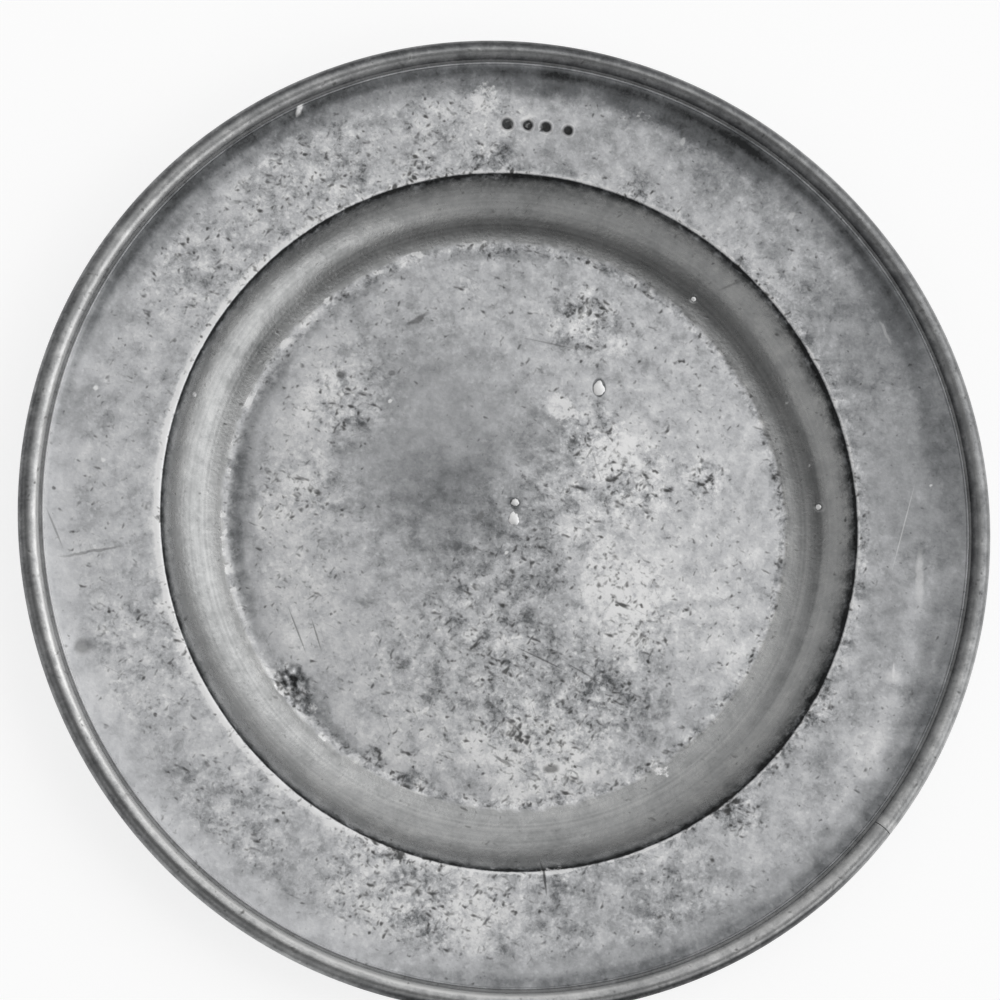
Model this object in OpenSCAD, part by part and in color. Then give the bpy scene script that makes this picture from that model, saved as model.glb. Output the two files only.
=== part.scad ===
// Pewter charger: a broad-rimmed round serving dish with a single reed round its edge.
// It lies face up, +Z is its axis, and the origin is the centre of the plane it rests on.

/* [Dish] */
// Diameter of the well, where it meets the curved wall (booge)
well_d = 267; // [220:1:320]
// Height of the well's dome above its edge
dome_h = 1.8; // [0.8:0.1:4]
// Width of the flat ring round the well that the dish rests on
rest_w = 8; // [4:0.5:16]
// Width of the booge, from the well to the rim's inner edge
booge_w = 31.5; // [26:0.5:44]
// Depth of the well below the rim's inner edge
booge_depth = 17.5; // [12:0.5:24]
// Width of the rim, from its inner edge to the seam of the reed
rim_w = 53; // [40:0.5:80]
// Slope of the flat stretch of the rim, in degrees
rim_slope = 4; // [1:0.5:8]
// Width of the outer stretch of the rim that turns up
upturn_w = 17; // [8:0.5:28]
// Radius of that upturn
upturn_r = 100; // [60:1:200]
// Thickness of the metal
wall = 2.2; // [1.4:0.1:3.4]

/* [Reed] */
// Width of the fine ridge that borders the seam
ridge_w = 1.2; // [0.6:0.1:2.4]
// Width of the seam between the ridge and the reed
seam_w = 1; // [0.5:0.1:2]
// Width of the half-round reed
reed_w = 9.5; // [8.5:0.1:14]
// Height of the reed
reed_h = 3.6; // [2:0.1:4.2]
// Opening of the reed's butt joint
reed_gap = 0.6; // [0.2:0.1:2]
// Direction of the butt joint, in degrees from +X
reed_joint_angle = -40; // [-180:1:180]
// Thickness of the solder under the reed
solder_t = 0.4; // [0.2:0.05:0.8]
// How far the solder stays back from the dish's edge
solder_inset = 0.3; // [0:0.1:1]

/* [Sunk marks] */
// Number of plain sunk marks in the row on the rim
mark_count = 4; // [1:1:8]
// Diameter of a mark
mark_d = 5; // [2:0.1:7]
// Depth of a mark
mark_depth = 0.5; // [0.2:0.05:0.8]
// Distance between marks along the row
mark_pitch = 9.8; // [8:0.1:16]
// Distance of the row from the rim's inner edge
mark_offset = 23.5; // [8:0.5:32]
// Direction of the middle of the row, in degrees from +X
mark_angle = 87; // [0:1:180]

/* [Solder plugs] */
// Height of a plug's rounded ends above the metal
plug_crown = 0.35; // [0.1:0.05:0.6]
// Diameter of the plug of the turning centre
centre_plug_d = 4.4; // [2:0.1:5]
// Distance of that plug from the axis
centre_plug_r = 1.8; // [0:0.1:2.5]
// Direction of that plug
centre_plug_angle = 30; // [-180:1:180]
// Diameter of the plug above the turning centre
upper_centre_plug_d = 3.6; // [2:0.1:5]
// Distance of that plug from the axis
upper_centre_plug_r = 8.8; // [8:0.1:30]
// Direction of that plug
upper_centre_plug_angle = 76; // [40:1:120]
// Diameter of the large plug in the well
well_plug_d = 5.4; // [2:0.1:9]
// Distance of that plug from the axis
well_plug_r = 79; // [40:0.5:95]
// Direction of that plug
well_plug_angle = 57; // [-180:1:180]
// Diameter of the two small plugs in the booge
booge_plug_d = 2.4; // [1:0.1:5]
// Distance of the right booge plug from the well's edge
right_booge_plug_out = 16.5; // [6:0.5:20]
// Direction of the right booge plug
right_booge_plug_angle = 4; // [-40:1:30]
// Distance of the upper booge plug from the well's edge
upper_booge_plug_out = 9.5; // [6:0.5:20]
// Direction of the upper booge plug
upper_booge_plug_angle = 51; // [40:1:120]

/* [Hidden] */
$fn = 180;

// Steps along each kind of arc
fine_steps = 16;
coarse_steps = 8;
// Length that a cutter runs past the metal on each side
cut_over = 5;

pewter = [0.56, 0.57, 0.58];
worn_pewter = [0.66, 0.66, 0.67];
dark_solder = [0.34, 0.34, 0.35];
bright_solder = [0.82, 0.82, 0.82];

// Radii of the profile, from the axis outwards
well_r = well_d / 2;
dome_edge_r = well_r - rest_w;
rim_r = well_r + booge_w;
seat_r = rim_r + rim_w;
ridge_r = seat_r - ridge_w;
bend_r = ridge_r - upturn_w;
reed_r = seat_r + seam_w;
edge_r = reed_r + reed_w;

// Round stretches: the dome is an arc over the well, the booge starts level at the well's edge
dome_r = (dome_edge_r ^ 2 + dome_h ^ 2) / (2 * dome_h);
dome_span = asin(dome_edge_r / dome_r);
booge_r = (booge_w ^ 2 + booge_depth ^ 2) / (2 * booge_depth);
booge_span = asin(booge_w / booge_r);
booge_centre = [well_r, wall + booge_r];
upturn_end = asin(sin(rim_slope) + upturn_w / upturn_r);

// Heights of the upper surface
rim_z = wall + booge_depth;
bend_z = rim_z + (bend_r - rim_r) * tan(rim_slope);
upturn_centre = [bend_r, bend_z] + upturn_r * [-sin(rim_slope), cos(rim_slope)];
seat_z = upturn_centre[1] - upturn_r * cos(upturn_end);
reed_z = seat_z + solder_t;

// Below the booge, the arc that meets the rim's underside
under_r = booge_r + wall;
under_span = acos((booge_centre[1] - rim_z + wall) / under_r);

function arc(centre, r, from, to, steps) =
    [for (i = [0:steps]) let (a = from + (to - from) * i / steps) centre + r * [cos(a), sin(a)]];

// Half outline of the dish, up over the face and back along the underside
function dish_outline() = concat(
    arc([0, wall + dome_h - dome_r], dome_r, 90, 90 - dome_span, coarse_steps),
    arc(booge_centre, booge_r, -90, booge_span - 90, fine_steps),
    arc(upturn_centre, upturn_r, rim_slope - 90, upturn_end - 90, coarse_steps),
    arc([seat_r - ridge_w / 2, seat_z], ridge_w / 2, 180, 0, coarse_steps),
    [[edge_r, seat_z], [edge_r, seat_z - wall]],
    arc(upturn_centre, upturn_r + wall, upturn_end - 90, rim_slope - 90, coarse_steps),
    arc(booge_centre, under_r, under_span - 90, -90, fine_steps),
    arc([0, dome_h - dome_r], dome_r, 90 - dome_span, 90, coarse_steps));

// Height of the well's upper surface at a distance from the axis
function well_z(r) = wall + dome_h - dome_r + sqrt(dome_r ^ 2 - r ^ 2);

// Direction of the booge's surface at a distance out from the well's edge
function booge_lean(out) = asin(out / booge_r);

// Places its children at a spot in the well, with z = 0 on the underside
module in_well(r, angle) {
    rotate([0, 0, angle])
        translate([r, 0, well_z(r) - wall])
            children();
}

// Places its children at a spot in the booge, with z = 0 on the underside and +Z out of the metal
module in_booge(out, angle) {
    rotate([0, 0, angle])
        translate([booge_centre[0], 0, booge_centre[1]])
            rotate([0, -booge_lean(out), 0])
                translate([0, 0, -under_r])
                    children();
}

module plug_hole(d) {
    translate([0, 0, -cut_over])
        cylinder(d = d, h = wall + 2 * cut_over);
}

// A plug fills its hole and ends in a low crown on both sides
module plug(d) {
    crown_r = ((d / 2) ^ 2 + plug_crown ^ 2) / (2 * plug_crown);
    intersection() {
        plug_hole(d);
        translate([0, 0, plug_crown + wall - crown_r])
            sphere(r = crown_r);
        translate([0, 0, crown_r - plug_crown])
            sphere(r = crown_r);
    }
}

// A row of shallow round dents, alike and without any device
module sunk_marks() {
    ball_r = ((mark_d / 2) ^ 2 + mark_depth ^ 2) / (2 * mark_depth);
    row_r = rim_r + mark_offset;
    row_z = rim_z + mark_offset * tan(rim_slope);
    step = mark_pitch / row_r * 180 / PI;
    for (i = [0:mark_count - 1])
        rotate([0, 0, mark_angle + (i - (mark_count - 1) / 2) * step])
            translate([row_r, 0, row_z - mark_depth + ball_r])
                sphere(r = ball_r);
}

// Well, booge and rim, cast in one and turned
module dish() {
    color(pewter)
        difference() {
            rotate_extrude()
                polygon(dish_outline());
            sunk_marks();
            in_well(centre_plug_r, centre_plug_angle) plug_hole(centre_plug_d);
            in_well(upper_centre_plug_r, upper_centre_plug_angle) plug_hole(upper_centre_plug_d);
            in_well(well_plug_r, well_plug_angle) plug_hole(well_plug_d);
            in_booge(right_booge_plug_out, right_booge_plug_angle) plug_hole(booge_plug_d);
            in_booge(upper_booge_plug_out, upper_booge_plug_angle) plug_hole(booge_plug_d);
        }
}

// Half-round strip bent to a ring, whose ends meet at a butt joint
module edge_reed() {
    arc_r = ((reed_w / 2) ^ 2 + reed_h ^ 2) / (2 * reed_h);
    half_span = asin(reed_w / 2 / arc_r);
    gap_angle = reed_gap / edge_r * 180 / PI;
    color(worn_pewter)
        rotate([0, 0, reed_joint_angle + gap_angle / 2])
            rotate_extrude(angle = 360 - gap_angle)
                polygon(arc([reed_r + reed_w / 2, reed_z + reed_h - arc_r], arc_r,
                            90 + half_span, 90 - half_span, fine_steps));
}

// Solder between the rim and the strip, which shows as a line in the seam
module reed_solder() {
    color(dark_solder)
        translate([0, 0, seat_z])
            rotate_extrude()
                translate([seat_r, 0])
                    square([edge_r - solder_inset - seat_r, solder_t]);
}

module centre_plug() {
    color(bright_solder)
        in_well(centre_plug_r, centre_plug_angle) plug(centre_plug_d);
}

module upper_centre_plug() {
    color(bright_solder)
        in_well(upper_centre_plug_r, upper_centre_plug_angle) plug(upper_centre_plug_d);
}

module well_plug() {
    color(bright_solder)
        in_well(well_plug_r, well_plug_angle) plug(well_plug_d);
}

module right_booge_plug() {
    color(bright_solder)
        in_booge(right_booge_plug_out, right_booge_plug_angle) plug(booge_plug_d);
}

module upper_booge_plug() {
    color(bright_solder)
        in_booge(upper_booge_plug_out, upper_booge_plug_angle) plug(booge_plug_d);
}

dish();
edge_reed();
reed_solder();
centre_plug();
upper_centre_plug();
well_plug();
right_booge_plug();
upper_booge_plug();
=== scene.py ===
import math

import bmesh
import bpy
from mathutils import Matrix, Vector, noise


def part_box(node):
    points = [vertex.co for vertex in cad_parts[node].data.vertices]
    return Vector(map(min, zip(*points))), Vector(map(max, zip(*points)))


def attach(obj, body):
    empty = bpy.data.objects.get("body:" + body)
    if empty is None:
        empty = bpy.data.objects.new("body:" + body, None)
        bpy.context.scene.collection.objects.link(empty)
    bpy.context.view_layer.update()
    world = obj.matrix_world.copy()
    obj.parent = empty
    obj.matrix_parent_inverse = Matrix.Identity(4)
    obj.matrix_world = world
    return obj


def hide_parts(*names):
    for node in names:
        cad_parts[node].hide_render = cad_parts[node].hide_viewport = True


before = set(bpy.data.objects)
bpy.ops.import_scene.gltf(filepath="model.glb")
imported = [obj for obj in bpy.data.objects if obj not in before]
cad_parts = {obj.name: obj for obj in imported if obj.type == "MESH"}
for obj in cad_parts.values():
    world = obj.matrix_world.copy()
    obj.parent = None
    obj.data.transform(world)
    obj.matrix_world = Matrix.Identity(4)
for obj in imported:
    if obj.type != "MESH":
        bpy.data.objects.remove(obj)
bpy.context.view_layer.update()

# The dish: well, curved wall (booge) and broad rim in one pewter casting, turned smooth on the face.
# Long use has bent it a little, dented it, and left a grey patina with pits, scratches and worn patches.
mm = 0.001
wall = 2.2 * mm
well_r = 133.5 * mm
rest_w = 8 * mm
dome_h = 1.8 * mm
booge_w = 31.5 * mm
booge_depth = 17.5 * mm
rim_w = 53 * mm
rim_slope = math.radians(4)
upturn_w = 17 * mm
upturn_r = 100 * mm
ridge_w = 1.2 * mm
arris_round = 0.6 * mm
edge_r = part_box("dish")[1].x
segments = 448

dome_edge_r = well_r - rest_w
dome_r = (dome_edge_r ** 2 + dome_h ** 2) / (2 * dome_h)
dome_span = math.asin(dome_edge_r / dome_r)
booge_r = (booge_w ** 2 + booge_depth ** 2) / (2 * booge_depth)
booge_span = math.asin(booge_w / booge_r)
booge_top = wall + booge_r
rim_r = well_r + booge_w
rim_z = wall + booge_depth
seat_r = rim_r + rim_w
bend_r = seat_r - ridge_w - upturn_w
bend_z = rim_z + (bend_r - rim_r) * math.tan(rim_slope)
upturn_x = bend_r - upturn_r * math.sin(rim_slope)
upturn_z = bend_z + upturn_r * math.cos(rim_slope)
upturn_end = math.asin(math.sin(rim_slope) + upturn_w / upturn_r)
seat_z = upturn_z - upturn_r * math.cos(upturn_end)
under_r = booge_r + wall
under_span = math.acos((booge_top - rim_z + wall) / under_r)


def line_to(bm, last, x, z, steps=1):
    """Carries a profile on from a vertex to a point, in equal steps."""
    start, end = last.co.copy(), Vector((x, 0, z))
    for step in range(steps):
        last = bmesh.ops.extrude_vert_indiv(bm, verts=[last])["verts"][0]
        last.co = start.lerp(end, (step + 1) / steps)
    return last


def arc_about(bm, last, x, z, turn, steps):
    """Carries a profile on along an arc about a centre; a positive turn goes clockwise on the page."""
    made = bmesh.ops.spin(bm, geom=[last], cent=(x, 0, z), axis=(0, 1, 0), angle=turn, steps=steps)
    return next(item for item in made["geom_last"] if isinstance(item, bmesh.types.BMVert))


def revolve(bm, steps):
    """Turns a profile round the dish's axis and closes the seam and the poles."""
    bmesh.ops.spin(bm, geom=bm.verts[:] + bm.edges[:], cent=(0, 0, 0), axis=(0, 0, 1),
                   angle=2 * math.pi, steps=steps, use_merge=True)
    bmesh.ops.remove_doubles(bm, verts=bm.verts, dist=0.001 * mm)
    bmesh.ops.recalc_face_normals(bm, faces=bm.faces)


def fade(share):
    """A soft step from 0 to 1."""
    share = min(max(share, 0), 1)
    return share * share * (3 - 2 * share)


def band(value, start, end, soft):
    """1 between two values and 0 outside them, with soft ends."""
    return fade((value - start) / soft + 0.5) * fade((end - value) / soft + 0.5)


def spread(x, y, spots):
    """Adds up soft round spots, each given as x, y, reach and amount."""
    return sum(amount * fade(1.4 - 1.4 * math.hypot(x - sx, y - sy) / reach)
               for sx, sy, reach, amount in spots if abs(x - sx) < reach and abs(y - sy) < reach)


def settle(co):
    """Moves a point of the true turned shape to where use has bent the metal."""
    radius, angle = math.hypot(co.x, co.y), math.atan2(co.y, co.x)
    out = fade((radius - well_r) / (edge_r - well_r))
    oval = 0.3 * mm * math.sin(2 * angle + 0.5) + 0.2 * mm * math.sin(5 * angle)
    lift = 0.4 * mm * math.sin(2 * angle + 2) + 0.15 * mm * math.sin(7 * angle)
    wave = 0.14 * mm * noise.noise(Vector((co.x, co.y, 0)) / (38 * mm))
    ripple = 0.03 * mm * noise.noise(Vector((co.x, co.y, 0.1)) / (13 * mm))
    stretch = 1 + out * oval / edge_r
    return Vector((co.x * stretch, co.y * stretch, co.z + out * lift + wave + ripple))


def refine(bm, x, y, reach, cuts):
    """Cuts the upper faces round a spot finer, so that they can take small shapes."""
    near = [face for face in bm.faces if face.normal.z > 0.2
            and (face.calc_center_median().xy - Vector((x, y))).length < reach]
    edges = {edge for face in near for edge in face.edges}
    bmesh.ops.subdivide_edges(bm, edges=list(edges), cuts=cuts, use_grid_fill=True)


# What each vertex tells its material: how light it is, how pitted, how smooth, how bare of patina,
# and whether it belongs to the face (1) or to the underside (0)
looks = ("tone", "pitting", "polish", "bared", "face")


def dress(bm, look):
    """Stores what a function of place tells about the patina of each vertex."""
    layers = [bm.verts.layers.float.new(key) for key in looks]
    for vert in bm.verts:
        for layer, value in zip(layers, look(vert)):
            vert[layer] = value


def finish_piece(bm, name, material, slot, *nodes):
    """Makes the finished object, which rides on the charger and stands for its CAD nodes."""
    mesh = bpy.data.meshes.new(name)
    bm.to_mesh(mesh)
    bm.free()
    mesh.shade_smooth()
    mesh.set_sharp_from_angle(angle=math.radians(50))
    mesh.materials.append(material)
    piece = bpy.data.objects.new(name, mesh)
    bpy.context.scene.collection.objects.link(piece)
    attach(piece, "root")
    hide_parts(*nodes)


def colour(code):
    """An sRGB hex value as linear red, green, blue and alpha."""
    parts = [int(code[i:i + 2], 16) / 255 for i in (1, 3, 5)]
    return [p / 12.92 if p <= 0.04045 else ((p + 0.055) / 1.055) ** 2.4 for p in parts] + [1]


def add(tree, kind, inputs=None, **settings):
    """Adds a shader node with its settings, and links or sets its inputs."""
    made = tree.nodes.new("ShaderNode" + kind)
    for name, value in settings.items():
        setattr(made, name, value)
    for name, value in (inputs or {}).items():
        if isinstance(value, bpy.types.NodeSocket):
            tree.links.new(value, made.inputs[name])
        else:
            made.inputs[name].default_value = value
    return made


def per_metre(size_mm):
    """Texture scale of a pattern whose features are this many millimetres across."""
    return 1000 / size_mm


def pewter(name, dull, plain, scoured, rough, gouges=(), scuffs_and_glints=()):
    """Old pewter: satin grey metal under a cloudy patina, with dark specks, scratches and bare spots."""
    material = bpy.data.materials.new(name)
    material.use_nodes = True
    tree = material.node_tree
    tree.nodes.clear()
    tone, pitting, polish, bared, upper = (add(tree, "Attribute", attribute_name=key).outputs["Fac"]
                                           for key in looks)

    # Patterns are read well away from their own origin, where all their sizes would line up in streaks.
    # The underside reads them a metre further up, so that no mark of the face shows through it.
    true_place = add(tree, "TexCoord").outputs["Object"]
    shift = Vector((0.31, 0.17, 0.06))
    under = add(tree, "Math", {0: upper, 1: 0.5}, operation="LESS_THAN")
    under = add(tree, "CombineXYZ", {"Z": under.outputs[0]})
    place = add(tree, "VectorMath", {0: true_place, 1: shift}, operation="ADD")
    place = add(tree, "VectorMath", {0: place.outputs[0], 1: under.outputs[0]}, operation="ADD").outputs[0]

    # Flakes, blotches and broad stains are read at places stirred a little, so their outlines are ragged
    stir = add(tree, "TexNoise", {"Vector": place, "Scale": per_metre(5), "Detail": 3})
    stir = add(tree, "VectorMath", {0: stir.outputs["Color"], 1: (0.5, 0.5, 0.5)}, operation="SUBTRACT")
    ragged = add(tree, "VectorMath", {0: stir.outputs[0], 1: (3 * mm,) * 3, 2: place},
                 operation="MULTIPLY_ADD").outputs[0]

    # Dark specks of corrosion: short dashes in two directions and dots, crowded in loose clusters;
    # each kind has its turn, length and width in mm, and depth
    cluster = add(tree, "TexNoise", {"Vector": place, "Scale": per_metre(14), "Detail": 2})
    crowd = add(tree, "MapRange", {"Value": cluster.outputs["Fac"], "From Min": 0.36, "From Max": 0.64,
                                   "To Min": 0.5, "To Max": 1.15})
    density = add(tree, "Math", {0: crowd.outputs[0], 1: pitting}, operation="MULTIPLY")
    specks = 0.0
    for turn, length, width, depth in ((-0.35, 5.0, 3.0, 0.85), (0.9, 4.3, 2.7, 0.8), (0, 2.9, 2.9, 0.85)):
        lie = add(tree, "Mapping", {"Vector": place, "Rotation": (0, 0, turn),
                                    "Scale": (length * mm, width * mm, length * mm)}, vector_type="TEXTURE")
        dots = add(tree, "TexNoise", {"Vector": lie.outputs[0], "Scale": 1.0, "Detail": 1}).outputs["Fac"]
        over = add(tree, "Math", {0: density.outputs[0], 1: 0.17, 2: dots}, operation="MULTIPLY_ADD")
        spot = add(tree, "MapRange", {"Value": over.outputs[0], "From Min": 0.7, "From Max": 0.94,
                                      "To Max": depth}, interpolation_type="SMOOTHSTEP").outputs[0]
        specks = add(tree, "Math", {0: specks, 1: spot}, operation="MAXIMUM").outputs[0]

    # Fine straight scratches in a few directions, drawn broader than life so that they show:
    # turn, and the pattern's length and width in mm
    lively = add(tree, "MapRange", {"Value": pitting, "To Min": 0.4, "To Max": 2.3}).outputs[0]
    scratched = add(tree, "Math", {0: lively, 1: 0.11}, operation="MULTIPLY").outputs[0]
    blemish = specks
    for turn, length, width in ((-0.45, 16, 0.8), (0.5, 12, 0.7), (1.9, 14, 0.8)):
        lie = add(tree, "Mapping", {"Vector": place, "Rotation": (0, 0, turn),
                                    "Scale": (length * mm, width * mm, length * mm)}, vector_type="TEXTURE")
        hair = add(tree, "TexNoise", {"Vector": lie.outputs[0], "Scale": 1.0, "Detail": 0})
        scratch = add(tree, "MapRange", {"Value": hair.outputs["Fac"], "From Min": 0.77, "From Max": 0.86,
                                         "To Max": scratched})
        blemish = add(tree, "Math", {0: blemish, 1: scratch.outputs[0]}, operation="MAXIMUM").outputs[0]

    # Metal bared along edges and in lacy flakes, with painted highlight along the rim's inner edge;
    # elsewhere the same flakes differ only in tone
    flake = add(tree, "TexNoise", {"Vector": ragged, "Scale": per_metre(7), "Detail": 6, "Roughness": 0.66})
    edge = add(tree, "Math", {0: flake.outputs["Fac"], 1: bared}, operation="ADD")
    lace = add(tree, "TexNoise", {"Vector": place, "Scale": per_metre(2.6), "Detail": 4, "Roughness": 0.6})
    edge = add(tree, "Math", {0: lace.outputs["Fac"], 1: 0.8, 2: edge.outputs[0]}, operation="MULTIPLY_ADD")
    bright = add(tree, "MapRange", {"Value": edge.outputs[0], "From Min": 1.26, "From Max": 1.5,
                                    "To Max": 0.8}, interpolation_type="SMOOTHSTEP").outputs[0]
    patchy = add(tree, "ValToRGB", {"Fac": flake.outputs["Fac"]})
    patchy.color_ramp.elements[0].position = 0.41
    patchy.color_ramp.elements[1].position = 0.61
    for stop in (0.46, 0.55):
        patchy.color_ramp.elements.new(stop).color = (0.5, 0.5, 0.5, 1)
    fleck = add(tree, "MapRange", {"Value": dots, "From Min": 0.4, "From Max": 0.28}).outputs[0]

    # Single gouges and stains, and single bright scuffs and painted glints, each a soft ellipse in its own
    # place
    layers = [blemish, bright]
    for layer, strokes in enumerate((gouges, scuffs_and_glints)):
        for x, y, length, width, turn, depth in strokes:
            lie = add(tree, "Mapping", {"Vector": ragged if width > 1.5 else place,
                                        "Location": shift + Vector((x * mm, y * mm, 0)),
                                        "Rotation": (0, 0, math.radians(turn)),
                                        "Scale": (length / 2 * mm, width / 2 * mm, 1)}, vector_type="TEXTURE")
            ellipse = add(tree, "TexGradient", {"Vector": lie.outputs[0]}, gradient_type="SPHERICAL")
            line = add(tree, "MapRange", {"Value": ellipse.outputs["Fac"], "From Max": 0.5, "To Max": depth})
            layers[layer] = add(tree, "Math", {0: layers[layer], 1: line.outputs[0]},
                                operation="MAXIMUM").outputs[0]
    blemish, bright = layers

    # Tone: broad clouds, blotches, a fine grain, and the fine rings that turning left,
    # which are drawn coarser than life so that they show
    clouds = add(tree, "TexNoise", {"Vector": place, "Scale": per_metre(34), "Detail": 4})
    ground = add(tree, "MapRange", {"Value": clouds.outputs["Fac"], "To Min": 0.34, "To Max": 0.66})
    blotch = add(tree, "TexNoise", {"Vector": ragged, "Scale": per_metre(9), "Detail": 7, "Roughness": 0.62})
    grain = add(tree, "TexNoise", {"Vector": place, "Scale": per_metre(1.6), "Detail": 3})
    level = add(tree, "VectorMath", {0: true_place, 1: (1, 1, 0)}, operation="MULTIPLY")
    radius = add(tree, "VectorMath", {0: level.outputs[0]}, operation="LENGTH")
    rings = add(tree, "TexNoise", {"W": radius.outputs["Value"], "Scale": per_metre(1.8), "Detail": 2},
                noise_dimensions="1D")
    close = blotch.outputs["Fac"]
    for pattern, weight in ((grain.outputs["Fac"], 0.33), (fleck, 0.14), (patchy.outputs["Color"], 0.22)):
        close = add(tree, "Math", {0: pattern, 1: weight, 2: close}, operation="MULTIPLY_ADD").outputs[0]
    close = add(tree, "Math", {0: close, 1: 0.795}, operation="SUBTRACT")
    # The tone of each vertex comes in here, with the light and shade painted into it
    shade = add(tree, "Math", {0: close.outputs[0], 1: lively, 2: tone}, operation="MULTIPLY_ADD")
    shade = add(tree, "Math", {0: shade.outputs[0], 1: ground.outputs[0]}, operation="ADD")
    turned = add(tree, "MapRange", {"Value": rings.outputs["Fac"], "To Min": -0.15, "To Max": 0.15})
    shade = add(tree, "Math", {0: turned.outputs[0], 1: polish, 2: shade.outputs[0]},
                operation="MULTIPLY_ADD")
    shade = add(tree, "MapRange", {"Value": shade.outputs[0], "From Min": -0.4})
    ramp = add(tree, "ValToRGB", {"Fac": shade.outputs[0]})
    ramp.color_ramp.elements[0].color = colour("#3a3b3c")
    ramp.color_ramp.elements[1].color = colour(scoured)
    for stop, code in ((0.29, dull), (0.64, plain)):
        ramp.color_ramp.elements.new(stop).color = colour(code)
    face = add(tree, "MixRGB", {"Fac": polish, "Color1": ramp.outputs["Color"], "Color2": colour("#d0d0ce")},
               blend_type="MULTIPLY")
    face = add(tree, "MixRGB", {"Fac": bright, "Color1": face.outputs["Color"], "Color2": colour("#f8f8f8")})
    face = add(tree, "MixRGB", {"Fac": blemish, "Color1": face.outputs["Color"], "Color2": colour("#4c4c4b")})

    # Smooth metal is glossier, pits are dull, and specks and grain stand a little out of level
    gloss = add(tree, "MapRange", {"Value": blotch.outputs["Fac"], "From Min": 0.3, "From Max": 0.7,
                                   "To Min": rough + 0.05, "To Max": rough - 0.05})
    gloss = add(tree, "Math", {0: polish, 1: -0.31, 2: gloss.outputs[0]}, operation="MULTIPLY_ADD")
    gloss = add(tree, "Math", {0: blemish, 1: 0.2, 2: gloss.outputs[0]}, operation="MULTIPLY_ADD")
    relief = add(tree, "Math", {0: specks, 1: -1.2, 2: grain.outputs["Fac"]}, operation="MULTIPLY_ADD")
    bump = add(tree, "Bump", {"Height": relief.outputs[0], "Strength": 0.3, "Distance": 0.25 * mm})
    shader = add(tree, "BsdfPrincipled", {"Base Color": face.outputs["Color"], "Metallic": 1.0,
                                          "Roughness": gloss.outputs[0], "Normal": bump.outputs[0]})
    add(tree, "OutputMaterial", {"Surface": shader.outputs[0]})
    return material


# Half outline, from the axis over the face to the edge and back along the underside; where a line has
# more than one step, their number comes last. They are finer at the upper end of the booge, where the
# shade turns fast.
upper_share = 0.12
dish = bmesh.new()
tip = bmesh.ops.create_vert(dish, co=(0, 0, wall + dome_h))["vert"][0]
tip = arc_about(dish, tip, 0, wall + dome_h - dome_r, dome_span, 52)
tip = line_to(dish, tip, well_r, wall, 8)
tip = arc_about(dish, tip, well_r, booge_top, (upper_share - 1) * booge_span, 26)
tip = arc_about(dish, tip, well_r, booge_top, -upper_share * booge_span, 8)
tip = line_to(dish, tip, bend_r, bend_z, 17)
tip = arc_about(dish, tip, upturn_x, upturn_z, rim_slope - upturn_end, 10)
tip = arc_about(dish, tip, seat_r - ridge_w / 2, seat_z, math.pi, 6)
tip = line_to(dish, tip, edge_r, seat_z)
tip = line_to(dish, tip, edge_r, seat_z - wall)
tip = line_to(dish, tip, upturn_x + (upturn_r + wall) * math.sin(upturn_end),
              upturn_z - (upturn_r + wall) * math.cos(upturn_end), 2)
tip = arc_about(dish, tip, upturn_x, upturn_z, upturn_end - rim_slope, 5)
tip = line_to(dish, tip, well_r + under_r * math.sin(under_span),
              booge_top - under_r * math.cos(under_span), 3)
tip = arc_about(dish, tip, well_r, booge_top, under_span, 9)
tip = line_to(dish, tip, dome_edge_r, 0, 2)
arc_about(dish, tip, 0, dome_h - dome_r, -dome_span, 8)
revolve(dish, segments)

# The inner edge of the rim is worn round
on_edge = 0.01 * mm
arris = [edge for edge in dish.edges
         if all(abs(vert.co.z - rim_z) < on_edge and abs(vert.co.xy.length - rim_r) < on_edge
                for vert in edge.verts)]
bmesh.ops.bevel(dish, geom=arris, offset=arris_round, segments=3, profile=0.5, affect="EDGES", material=-1)

# The four sunk marks stand in a row on the rim: direction in degrees, radius in mm
mark_depth = 0.8 * mm
mark_wall = 0.7 * mm
mark_reach = 4.5 * mm
mark_offset = 23.5 * mm
row_r = rim_r + mark_offset
marks = [(row_r * math.cos(math.radians(turn)), row_r * math.sin(math.radians(turn)), size * mm)
         for turn, size in ((91.4, 2.8), (88.4, 2.5), (85.7, 2.6), (82.4, 2.3))]
for x, y, size in marks:
    refine(dish, x, y, mark_reach, 6)

# The solder plugs: node, radius in mm, height of the drop over its width, how much the drop narrows
# upwards, how lumpy it is, and how dark its outline is
plugs = [("centre_plug", 2.4, 1.2, 0.1, 0.5, 0), ("upper_centre_plug", 1.9, 0.9, 0.1, 0.2, 0.25),
         ("well_plug", 2.6, 1.4, 0.35, 0.2, 0.5), ("right_booge_plug", 1.4, 1, 0, 0.1, 0.1),
         ("upper_booge_plug", 1.2, 1, 0, 0.1, 0.1)]
plug_margin = 2 * mm
moat_depth = 0.15 * mm
moat_w = 1.1 * mm
moat_soft = 0.8 * mm
narrow_faces_r = 20 * mm


def sag_of(plug_r, tall):
    """How far a tall drop has run down from the middle of its hole."""
    return 0.6 * (tall - 1) * plug_r * mm


plug_spots = []
for node, plug_r, tall, narrow, lumpy, outline in plugs:
    low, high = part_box(node)
    middle = (low + high) / 2
    sag = sag_of(plug_r, tall)
    plug_spots.append((middle.x, middle.y - sag, plug_r * mm, tall, outline))
    # Near the axis the faces are narrow already, so they are cut less
    cuts = 4 if middle.xy.length > narrow_faces_r else 2
    refine(dish, middle.x, middle.y - sag, plug_r * tall * mm + plug_margin, cuts)


def off_plug(x, y, spot):
    """How far a place lies outside the outline of a plug."""
    return math.hypot(x - spot[0], (y - spot[1]) / spot[3]) - spot[2]


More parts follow.
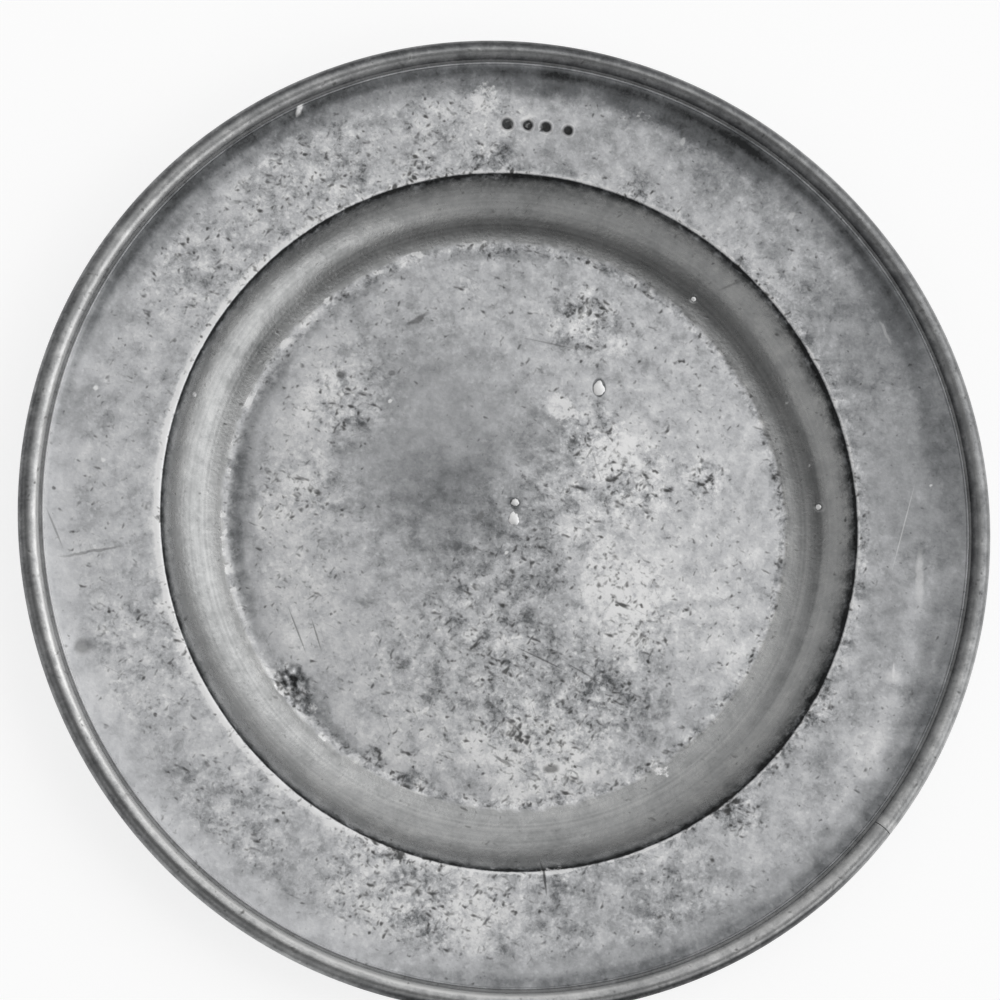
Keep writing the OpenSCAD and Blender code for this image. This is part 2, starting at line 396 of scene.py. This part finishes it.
# Bumps and dents of the rim and the well, the last one a chip beside the reed: x, y, reach and height in mm
chip_x, chip_y = -104, 189
chip_reach = 5 * mm
knocks = [(81, 183.5, 7, 0.3), (133, 150, 9, 0.3), (-191, 19, 5, 0.3), (-196, 51, 5, 0.3),
          (-142, 123, 6, 0.3), (180, -71, 9, 0.3), (-200, -66, 11, -0.5), (44, -70, 14, -0.25),
          (chip_x, chip_y, 4, 0.5)]

# The crusted spot where the well meets the booge, and the shallow gutter that runs round the well there
crust_x, crust_y = -101 * mm, -79 * mm
crust_length, crust_width = 17 * mm, 10 * mm
crust_relief = 0.65 * mm
gutter_start, gutter_end = 124 * mm, 133.2 * mm
gutter_depth = 0.3 * mm
gutter_fall, gutter_rise = 9 * mm, 3 * mm
refine(dish, crust_x, crust_y, crust_length + 1 * mm, 3)
refine(dish, chip_x * mm, chip_y * mm, chip_reach, 3)


def crust(x, y):
    """How much of the crust lies on a spot: it runs along the edge of the well."""
    along = ((x - crust_x) * 0.5 - (y - crust_y) * 0.87) / crust_length
    across = ((x - crust_x) * 0.87 + (y - crust_y) * 0.5) / crust_width
    return fade(1.4 - 1.4 * math.hypot(along, across))


dish.normal_update()
for vert in dish.verts:
    x, y, radius = vert.co.x, vert.co.y, vert.co.xy.length
    if vert.normal.z > 0.1:
        uneven = radius + 1.2 * mm * noise.noise(Vector((x, y, 0.2)) / (9 * mm))
        falls = fade((uneven - gutter_start) / gutter_fall)
        rises = fade((uneven - gutter_end) / gutter_rise)
        vert.co.z -= gutter_depth * falls * (1 - rises)
        vert.co.z += mm * spread(x / mm, y / mm, knocks)
        for mark_x, mark_y, size in marks:
            vert.co.z -= mark_depth * fade((size - math.hypot(x - mark_x, y - mark_y)) / mark_wall)
        vert.co.z += crust(x, y) * crust_relief * noise.fractal(Vector((x, y, 0)) / (3.5 * mm), 0.8, 2, 2)
        for spot in plug_spots:
            vert.co.z -= moat_depth * fade((moat_w - off_plug(x, y, spot)) / moat_soft)
    vert.co = settle(vert.co)

# Patina of the face, and painted highlight along the bump on the right rim, as soft spots: x, y and reach
# in mm, and amount. Lighter and darker patches come first, then patches with many specks, then places where
# metal is bared in flakes. The light spots from (180, -72) to (153, -137), with (175, -85) and (165, -108),
# are the painted highlight.
patches = [(-130, 140, 34, 0.08), (-40, 195, 26, 0.1), (-13, 194, 22, 0.14), (-85, 165, 24, 0.06),
           (-149, 119, 30, 0.05), (-190, 30, 50, 0.04), (-195, -35, 30, 0.08), (-175, -80, 30, 0.12),
           (-140, -108, 22, 0.1), (-102, -141, 12, -0.14), (-20, -186, 26, 0.34), (-67, -172, 36, 0.16),
           (25, -180, 24, -0.12), (62, -178, 18, -0.14), (104, -154, 36, 0.04), (165, -108, 18, 0.14),
           (175, -85, 14, 0.16), (190, -85, 20, -0.14), (195, -40, 40, -0.14), (200, 13, 50, -0.24),
           (170, 80, 40, -0.16), (187, 90, 50, -0.18), (160, 120, 30, -0.14), (104, 172, 30, -0.3),
           (130, 158, 24, -0.16), (40, 182, 18, -0.08), (10, 166, 30, -0.1), (109, 146, 26, 0.06),
           (78, 188, 18, -0.25), (200, 55, 24, -0.14), (15, 207, 20, -0.1), (54, 200, 18, -0.12),
           (62, 165, 14, -0.12), (208, 40, 26, -0.15), (168, -85, 16, -0.14), (145, -118, 14, -0.12),
           (-198, 42, 20, -0.18), (-80, 158, 16, -0.1), (-15, -203, 20, -0.1), (-100, -172, 18, -0.1),
           (-88, 145, 12, 0.2), (128, 138, 16, -0.15), (145, 105, 22, -0.12), (172, 45, 20, -0.12),
           (-130, -132, 20, 0.1), (110, -126, 10, 0.15), (-39, 42, 66, -0.2), (-30, -2, 46, -0.2),
           (-100, -45, 34, 0.2), (-105, 10, 30, 0.2), (-98, 45, 24, 0.15), (-78, 60, 22, 0.08),
           (-68, -90, 26, 0.1), (90, -16, 60, 0.14), (56, -30, 34, 0.28), (38, 8, 26, 0.12),
           (50, 32, 22, 0.16), (102, 40, 34, 0.08), (100, -55, 36, 0.1), (10, -112, 36, 0.28),
           (-45, -106, 30, 0.2), (40, -112, 22, 0.16), (24, 56, 11, 0.14), (51, 86, 9, 0.14),
           (14, 40, 24, -0.14), (23, -50, 44, -0.08), (4, -19, 34, -0.06), (44, -74, 12, -0.24),
           (15, 0, 12, -0.25), (60, -84, 24, -0.12), (-90, -84, 12, -0.14), (50, 16, 10, -0.2),
           (-112, -20, 26, 0.12), (-105, -62, 24, 0.14), (60, 40, 24, 0.14), (58, 5, 20, 0.12),
           (50, -55, 26, 0.16), (-85, 78, 22, 0.14), (-92, 48, 20, 0.1), (-18, -108, 14, 0.2),
           (-122, 15, 16, -0.12), (-70, -70, 24, 0.08), (-110, -2, 14, 0.12), (108, -62, 20, 0.14),
           (66, -98, 14, -0.1), (38, -8, 18, 0.18), (50, -36, 24, 0.2), (8, 14, 10, -0.15),
           (0, -64, 14, 0.2), (0, 124, 10, -0.14), (-107, 62, 12, -0.14), (0, -123, 12, 0.2),
           (28, -118, 14, 0.18), (8, 183, 14, 0.1), (2, -86, 10, -0.14), (192, -36, 8, 0.1),
           (189, -45, 8, 0.12), (186, -56, 8, 0.12), (180, -72, 6, 0.4), (177, -88, 9, 0.16),
           (172, -100, 10, 0.2), (166, -114, 10, 0.18), (158, -126, 10, 0.18), (153, -137, 9, 0.2),
           (-90, 56, 18, 0.18), (-80, 68, 14, 0.14), (-68, 46, 16, 0.08), (-100, 26, 16, 0.12),
           (46, 36, 18, 0.14), (62, 27, 20, 0.14), (38, 98, 18, 0.16)]
pitted = [(-100, 160, 60, 0.5), (-30, 190, 40, 0.4), (-150, 110, 40, 0.4), (-135, -147, 50, 0.35),
          (-60, -172, 50, 0.5), (-30, -190, 40, 0.35), (10, -180, 40, 0.3), (70, -172, 40, 0.3),
          (120, 120, 40, 0.1), (104, -138, 16, 0.6), (144, -86, 14, 0.6), (-46, 164, 12, 0.6),
          (-10, 168, 16, 0.5), (58, 158, 14, 0.4), (-55, -152, 14, 0.5), (-170, -70, 50, 0.3),
          (-28, -76, 60, 0.4), (24, -84, 50, 0.4), (52, -84, 36, 0.3), (-5, -38, 40, 0.3),
          (14, -113, 36, 0.4), (-100, -20, 50, 0.15), (24, 1, 44, 0.35), (40, 45, 20, 0.5),
          (63, 21, 26, 0.5), (94, 23, 16, 0.7), (39, 96, 24, 0.5), (-79, 55, 26, 0.35),
          (-19, 111, 8, 0.5), (-9, 130, 8, 0.5), (-64, -112, 9, 0.6), (-45, -123, 10, 0.6),
          (80, -30, 60, 0.15), (48, 25, 40, 0.3), (55, -40, 36, 0.35), (-76, 57, 34, 0.32),
          (-98, 15, 30, 0.3), (32, 100, 26, 0.2), (-39, 42, 60, -0.26), (200, 20, 60, -0.26),
          (185, 95, 50, -0.2), (190, -50, 40, -0.2)]
flaked = [(-17, -182, 26, 0.4), (-60, -175, 30, 0.38), (18, -167, 14, 0.4), (-135, -147, 30, 0.26),
          (-110, 155, 40, 0.3), (-60, 178, 36, 0.26), (-16, 200, 14, 0.5), (0, 188, 20, 0.32),
          (60, 190, 20, 0.26), (24, 56, 14, 0.5), (51, 86, 12, 0.44), (40, 40, 30, 0.26),
          (45, -22, 22, 0.4), (52, -42, 24, 0.4), (60, -62, 18, 0.38), (10, -112, 40, 0.44),
          (47, -115, 14, 0.42), (72, -114, 10, 0.42), (70, -172, 36, 0.26), (-96, -20, 40, 0.2),
          (-93, -90, 5, 0.5)]


# Broad bands of painted shade and painted highlight on the turned face, set by direction and radius:
# amount, then from and to in degrees with a soft width, then from and to in mm of radius with a soft width.
# They run outwards: gutter of the well, booge, rim, ridge; the last two are painted highlight on the ridge.
painted_light_and_shade = [(-0.18, 85, 245, 50, 126.5, 132, 4), (-0.2, 165, 195, 25, 126.5, 132, 4),
          (-0.15, 168, 192, 15, 120, 127, 4), (-0.1, 190, 225, 15, 121, 131, 5),
          (-0.12, 15, 160, 30, 136, 146, 5), (-0.18, 140, 158, 15, 140, 147, 4),
          (-0.1, 165, 225, 30, 143, 156, 5), (0.1, -60, 50, 40, 152, 161, 3),
          (-0.12, 75, 135, 30, 157, 163.5, 3), (-0.12, 310, 350, 20, 157, 163.5, 3),
          (0.08, 110, 290, 30, 166, 171, 3), (-0.25, 20, 150, 40, 204, 219, 9),
          (-0.2, 265, 345, 30, 203, 219, 8), (-0.4, 30, 165, 30, 212, 219, 4),
          (-0.2, 255, 345, 30, 212, 219, 4), (-0.2, 60, 105, 30, 203, 213, 6),
          (-0.12, 112, 150, 15, 206, 217, 5), (-0.06, -15, 35, 20, 203, 217, 8),
          (0.2, 165, 205, 30, 216.8, 218.3, 0.7), (0.35, 30, 165, 30, 216.8, 218.3, 0.7)]


def facing(turn, start, end, soft):
    """1 between two directions in degrees and 0 outside them, with soft ends."""
    middle = (start + end) / 2
    return band((turn - middle + 180) % 360 - 180, start - middle, end - middle, soft)


def dish_look(vert):
    """Tone, pitting, polish and bared metal of the dish: worn edges, a smooth booge, patches elsewhere."""
    x, y, radius = vert.co.x / mm, vert.co.y / mm, vert.co.xy.length / mm
    if vert.normal.z < 0.1:
        # The underside is plain, with a ring worn lighter where the dish rests
        return 0.2 * band(radius, 126, 133, 3), 0.25, 0.3, 0.0, 0.0
    turn = math.degrees(math.atan2(y, x)) % 360
    left = facing(turn, 130, 245, 60)
    right = facing(turn, -60, 50, 40)
    well_edge = facing(turn, 85, 245, 50) * band(radius, 132.6, 136.8, 2)
    lump = noise.noise(Vector((x, y, 5)) / 6)

    polish = band(radius + 1.5 * noise.noise(Vector((x, y, 7)) / 5), 135.6 - 1.8 * right, 163.5, 1.2)
    pitting = max(0.26 + spread(x, y, pitted), 0) * (1 - 0.8 * polish) + 0.5 * band(radius, 130.5, 135.5, 2)
    pitting *= 1 - 0.6 * facing(turn, 150, 215, 20) * band(radius, 121, 134, 5)
    pitting += (0.2 + 0.3 * right) * band(radius, 160, 170, 4)
    pitting *= 1 - 0.8 * fade((radius - 200) / 8)
    bared = spread(x, y, flaked) + (0.3 + 0.8 * lump) * well_edge
    # Along the inner edge of the rim the bared band is partly worn metal and partly painted highlight
    bared += (0.52 + 0.22 * left + 0.2 * lump) * band(radius, 164.9, 166.4 + 1.4 * left, 0.8)

    tone = spread(x, y, patches) + 0.12 * well_edge
    # Bands of painted shade and painted highlight that follow direction and radius
    tone += sum(amount * facing(turn, start, end, soft) * band(radius, inner, outer, blur)
                for amount, start, end, soft, inner, outer, blur in painted_light_and_shade)
    # The worn inner edge of the rim is light, partly from wear and partly as painted highlight,
    # and the end of the booge below it carries painted shade
    worn = (0.25 + 0.15 * left) * (1 - facing(turn, 265, 325, 30))
    tone += worn * band(radius, 164.9, 166.6 + left, 0.8)
    shaded = 0.15 * fade((radius - 159) / 4) + 0.8 * fade((radius - 162.3) / 2.3)
    tone -= shaded * fade((165 - radius) / 0.5)
    # A streak of painted shade runs along the booge on the right
    tone -= 0.2 * right * facing(turn, -40, 25, 20) * band(radius, 147, 151, 3)

    for mark_x, mark_y, size in marks:
        off = math.hypot(x - mark_x / mm, y - mark_y / mm) - size / mm
        tone += 0.3 * band(off, 0.3, 1.2, 0.6) - 0.8 * fade(-off / 0.6)
    for spot in plug_spots:
        tone -= spot[4] * fade(1.6 - off_plug(vert.co.x, vert.co.y, spot) / (0.6 * mm))
    crumble = crust(vert.co.x, vert.co.y)
    tone += crumble * (0.9 * noise.noise(Vector((x, y, 3)) / 3) - 0.22)
    return tone, pitting + 0.7 * crumble, polish * (1 - crumble), bared, 1.0


dish.normal_update()
dress(dish, dish_look)

# Single gouges, stains and scuffs of the face, with painted glints on bumps: x, y, length and width in mm,
# turn in degrees, depth
gouges = [(-44.5, 95.5, 15, 3.2, 32, 0.5), (-195, -23, 34, 1.8, 12, 0.4), (-212, -13, 22, 1.2, -66, 0.35),
          (-212.8, 5, 2, 2, 0, 0.6), (-81, 67.5, 6, 5, 0, 0.6), (-57, 69, 4, 3, 0, 0.45),
          (107, 117, 14, 1.4, 20, 0.3), (12.6, -167, 19, 1.5, 96, 0.7), (14, -65, 30, 1.1, -24, 0.5),
          (36, -72, 26, 1.0, -28, 0.4), (-3.5, -113, 12, 2.2, -30, 0.55), (19.3, -116.4, 9, 5, 8, 0.6),
          (-100, -54, 26, 1.0, -68, 0.45), (-91, -56, 18, 1.0, -72, 0.45), (21, 86, 36, 1.0, -10, 0.3),
          (-15, 1.6, 8, 4, 40, 0.4), (-198, -66, 10, 9, 30, 0.4), (-165, -96.5, 2.4, 2.4, 0, 0.7),
          (-58.4, 155, 2.4, 5, -20, 0.8), (-34, 161.5, 2, 5, -12, 0.8), (-2, 165, 2, 5, 0, 0.8)]
gouges += [(x / mm, y / mm, 3 * size / mm, 3 * size / mm, 0, 0.55) for x, y, size in marks]
# Painted glints on bumps: (-195.3, 52.5), (-191, 19.4), (179.8, -70.5), (134, 150) and (81, 184)
scuffs_and_glints = [(-195.3, 52.5, 3, 3, 0, 0.9), (-191, 19.4, 3, 3, 0, 0.9), (-150, 53, 2.5, 2.5, 0, 0.8),
          (-57.7, 55.3, 2.5, 2.5, 0, 0.9), (135, 61, 2, 2, 0, 0.7), (146, 30.7, 1.6, 1.6, 0, 0.7),
          (201, 19.3, 1.8, 1.8, 0, 0.7), (-2, -15.6, 2, 2, 0, 0.9), (186.7, -1.3, 50, 0.8, 74, 0.4),
          (194, -25, 34, 5, 88, 0.4), (180, 94, 16, 2, -64, 0.25), (-104.3, 188.8, 9, 3.6, 70, 1.0),
          (179.8, -70.5, 11, 1.5, 86, 0.6), (134, 150, 6, 3, 40, 0.4), (81, 184, 5, 2.5, 60, 0.4)]
# Cast pewter, turned and long in use: a cloudy mid grey, satin where it is worn and dull where it is pitted
face_pewter = pewter("worn_cast_pewter", "#848688", "#d0d1d3", "#fafafa", 0.58, gouges, scuffs_and_glints)
finish_piece(dish, "cast_dish", face_pewter, "pewter", "dish")

# The seam: a line of soft solder, run in between the rim and the strip on its edge.
# It has darkened with dirt and shows as a thin uneven line just inside the strip.
solder_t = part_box("reed_solder")[1].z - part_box("reed_solder")[0].z
seam_w = 1 * mm
solder_inset = 0.3 * mm
ridge_lap = 0.1 * mm
reed_r = seat_r + seam_w

seam = bmesh.new()
tip = bmesh.ops.create_vert(seam, co=(seat_r - ridge_lap, 0, seat_z))["vert"][0]
tip = line_to(seam, tip, seat_r, seat_z + 0.8 * solder_t, 2)
tip = line_to(seam, tip, reed_r + solder_inset, seat_z + 1.5 * solder_t, 3)
tip = line_to(seam, tip, edge_r - solder_inset, seat_z + solder_t, 2)
tip = line_to(seam, tip, edge_r - solder_inset, seat_z)
line_to(seam, tip, seat_r - ridge_lap, seat_z, 2)
revolve(seam, segments)
for vert in seam.verts:
    vert.co = settle(vert.co)
dress(seam, lambda vert: (0.15, 0.3, 0.3, 0.0, 1.0))

# Soft solder, dark with age and dirt: a dull line that sets the strip off from the rim
dark_solder = pewter("dark_solder", "#4a4a4b", "#7c7d7e", "#949596", 0.5)
finish_piece(seam, "seam_solder_line", dark_solder, "seam_solder", "reed_solder")

# The reed: a half-round pewter strip bent to a ring, laid on the rim's edge and soldered down.
# Its ends meet at a butt joint, and its tone carries painted light and shade.
reed_low, reed_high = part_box("edge_reed")
reed_h = reed_high.z - reed_low.z
reed_w = edge_r - reed_r
joint_angle = math.radians(-40)
joint_gap = 0.35 * mm / edge_r
crest_r = ((reed_w / 2) ** 2 + reed_h ** 2) / (2 * reed_h)
crest_span = math.asin(reed_w / 2 / crest_r)

reed = bmesh.new()
tip = bmesh.ops.create_vert(reed, co=(reed_r, 0, reed_low.z))["vert"][0]
tip = arc_about(reed, tip, reed_r + reed_w / 2, reed_high.z - crest_r, 2 * crest_span, 18)
line_to(reed, tip, reed_r, reed_low.z)
bmesh.ops.remove_doubles(reed, verts=reed.verts, dist=0.001 * mm)
section = bmesh.ops.contextual_create(reed, geom=reed.edges[:])["faces"]
bmesh.ops.rotate(reed, verts=reed.verts, cent=(0, 0, 0),
                 matrix=Matrix.Rotation(joint_angle + joint_gap / 2, 3, "Z"))
bmesh.ops.spin(reed, geom=section, cent=(0, 0, 0), axis=(0, 0, 1),
               angle=2 * math.pi - joint_gap, steps=segments)
bmesh.ops.recalc_face_normals(reed, faces=reed.faces)
for vert in reed.verts:
    vert.co = settle(vert.co)


def reed_look(vert):
    """Tone, pitting, polish and bared metal of the reed, whose tone is painted light and shade."""
    x, y, radius = vert.co.x / mm, vert.co.y / mm, vert.co.xy.length / mm
    turn = math.degrees(math.atan2(y, x)) % 360
    # Painted light on the inner side towards the lower left, and painted shade on the inner side towards the
    # upper right and on the outer side towards the upper left
    painted_light_side = fade(0.5 - (0.8 * x + 0.6 * y) / 400) + 0.6 * facing(turn, 190, 260, 40)
    outer = fade((radius - 223.5) / 2) * fade(0.5 - (x - 0.6 * y) / 300)
    inner = fade((222.5 - radius) / 2)
    right = fade(0.5 + (x + 0.6 * y) / 250)
    tone = (0.9 * painted_light_side - 0.45) * inner + 0.1 * painted_light_side - 0.4 * outer
    # The end beyond the joint and the strip near it are lighter. Painted shade darkens the outer side
    # on the right, the outermost edge and the lower edge
    tone += 0.3 * facing(turn, 320.1, 321.2, 0.4) + 0.2 * facing(turn, 290, 345, 20)
    tone -= 0.25 * right * band(radius, 223.6, 226.6, 1.5) + 0.12 * fade((radius - 226) / 1.5)
    tone -= 0.8 * facing(turn, 252, 312, 20) * fade((radius - 225) / 1.5)
    return tone, 0.2, 0.5, 0.0, 1.0


dress(reed, reed_look)

# Drawn pewter, smoothed by hands: an even grey with few pits and a soft shine
strip_pewter = pewter("handled_pewter_strip", "#767779", "#b4b5b6", "#f0f0f0", 0.5)
finish_piece(reed, "reed_strip", strip_pewter, "worn_pewter", "edge_reed")

# The solder plugs: holes in the well and the booge, stopped with drops of bright solder.
# Each stands a little proud of the face, where scouring has polished it.
crown_h = 0.5 * mm
booge_centre = Vector((0, 0, booge_top))

# Scoured tin solder: beads that are nearly white beside the grey metal
bright_solder = pewter("bright_solder", "#d8d9da", "#f6f6f6", "#fdfdfd", 0.5)
for node, plug_r, tall, narrow, lumpy, outline in plugs:
    low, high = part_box(node)
    middle = (low + high) / 2
    drop = bmesh.new()
    bmesh.ops.create_icosphere(drop, subdivisions=4, radius=1)
    for vert in drop.verts:
        x, y, z = vert.co
        height = math.copysign(0.5 * wall, z) + crown_h * z
        lump = plug_r * mm * (1 + lumpy * noise.noise(Vector((x, y, 0)) * 1.7 + middle / mm))
        vert.co = Vector((x * lump * (1 - narrow * y), y * lump * tall - sag_of(plug_r, tall), height))
    if middle.xy.length > well_r:
        outward = Vector((middle.x, middle.y, 0)).normalized()
        upright = (outward * well_r + booge_centre - middle).normalized()
    else:
        upright = Vector((0, 0, 1))
    lean = Vector((0, 0, 1)).rotation_difference(upright)
    bmesh.ops.rotate(drop, verts=drop.verts, cent=(0, 0, 0), matrix=lean.to_matrix())
    for vert in drop.verts:
        vert.co = settle(vert.co + middle)
    dress(drop, lambda vert: (0.1, 0.1, 0.0, 0.0, 1.0))
    finish_piece(drop, node + "_drop", bright_solder, "bright_solder", node)

# The stage: a pale floor, a broad soft light from the right, and a room whose light comes mostly from
# the right and is dim behind the camera. It is not part of the object.
floor_half = 6
floor_clearance = 0.2 * mm
floor_white = 0.72
floor_mesh = bpy.data.meshes.new("floor")
ground = bmesh.new()
bmesh.ops.create_grid(ground, x_segments=1, y_segments=1, size=floor_half)
bmesh.ops.translate(ground, vec=(0, 0, -floor_clearance), verts=ground.verts)
ground.to_mesh(floor_mesh)
ground.free()
floor = bpy.data.objects.new("floor", floor_mesh)
bpy.context.scene.collection.objects.link(floor)

# Matt white paper: plain and shadowed by the dish, and as white in its reflections as it is to the eye
paper = bpy.data.materials.new("pale_floor")
paper.use_nodes = True
tree = paper.node_tree
tree.nodes.clear()
rays = add(tree, "LightPath")
seen = rays.outputs["Is Camera Ray"]
for ray in ("Is Glossy Ray", "Is Transmission Ray"):
    seen = add(tree, "Math", {0: seen, 1: rays.outputs[ray]}, operation="ADD").outputs[0]
share = add(tree, "Math", {0: seen, 1: floor_white}, operation="MULTIPLY")
matt = add(tree, "BsdfDiffuse", {"Color": colour("#a8a8a8")})
shine = add(tree, "Emission", {"Color": colour("#ffffff"), "Strength": share.outputs[0]})
both = add(tree, "AddShader", {0: matt.outputs[0], 1: shine.outputs[0]})
add(tree, "OutputMaterial", {"Surface": both.outputs[0]})
floor_mesh.materials.append(paper)


def soft_light(name, bearing, height, distance, size, power):
    """A square soft light aimed at the charger from a bearing and a height, both in degrees."""
    lamp = bpy.data.lights.new(name, "AREA")
    lamp.size, lamp.energy = size, power
    holder = bpy.data.objects.new(name, lamp)
    across = math.cos(math.radians(height))
    holder.location = distance * Vector((across * math.cos(math.radians(bearing)),
                                         across * math.sin(math.radians(bearing)),
                                         math.sin(math.radians(height))))
    holder.rotation_euler = holder.location.to_track_quat("Z", "Y").to_euler()
    bpy.context.scene.collection.objects.link(holder)


soft_light("right_window", 20, 50, 1.8, 1.2, 1.2)

world = bpy.data.worlds.new("studio")
world.use_nodes = True
bpy.context.scene.world = world
tree = world.node_tree
tree.nodes.clear()
way = add(tree, "TexCoord").outputs["Generated"]


def glow(right, up, wide, full, low, high):
    """Brightness that rises from low to high towards a place in the room, in degrees off straight up."""
    off = math.radians(math.hypot(right, up))
    axis = Vector((right, up, 0)).normalized() * math.sin(off) + Vector((0, 0, math.cos(off)))
    lean = add(tree, "VectorMath", {0: way, 1: axis}, operation="DOT_PRODUCT")
    return add(tree, "MapRange", {"Value": lean.outputs["Value"], "From Min": math.cos(math.radians(wide)),
                                  "From Max": math.cos(math.radians(full)), "To Min": low, "To Max": high},
               interpolation_type="SMOOTHSTEP").outputs[0]


level = add(tree, "Math", {0: glow(45, -4, 39, 26, 0.54, 1.1), 1: glow(50, 25, 67, 40, 0.0, 0.29)},
            operation="ADD").outputs[0]
for dimmer in (glow(21, -12, 24, 8, 1.0, 0.12), glow(-12, -13, 26, 13, 1.0, 0.31),
               glow(-37, 6, 11, 7, 1.0, 0.25), glow(0, 0, 90, 60, 0.56, 1.0)):
    level = add(tree, "Math", {0: level, 1: dimmer}, operation="MULTIPLY").outputs[0]
back = add(tree, "Background", {"Color": level})
add(tree, "OutputWorld", {"Surface": back.outputs[0]})

# The camera looks down from a little to the lower left of the dish's axis
camera_data = bpy.data.cameras.new("camera")
camera_data.lens, camera_data.sensor_width = 98.73, 36
camera = bpy.data.objects.new("camera", camera_data)
tilt, bearing, reach = math.radians(14.27), math.radians(-136.55), 1270.6 * mm
pivot = Vector((0, 0, 24.6 * mm))
aim = pivot + Vector((-8.8 * mm, 5.8 * mm, 0))
eye = pivot + reach * Vector((math.sin(tilt) * math.cos(bearing), math.sin(tilt) * math.sin(bearing),
                              math.cos(tilt)))
ahead = (aim - eye).normalized()
across = ahead.cross(Vector((0, 1, 0))).normalized()
facing_down = Matrix((across, across.cross(ahead), -ahead)).transposed()
camera.matrix_world = Matrix.Translation(eye) @ facing_down.to_4x4()
bpy.context.scene.collection.objects.link(camera)
bpy.context.scene.camera = camera
bpy.context.scene.view_settings.view_transform = "Standard"
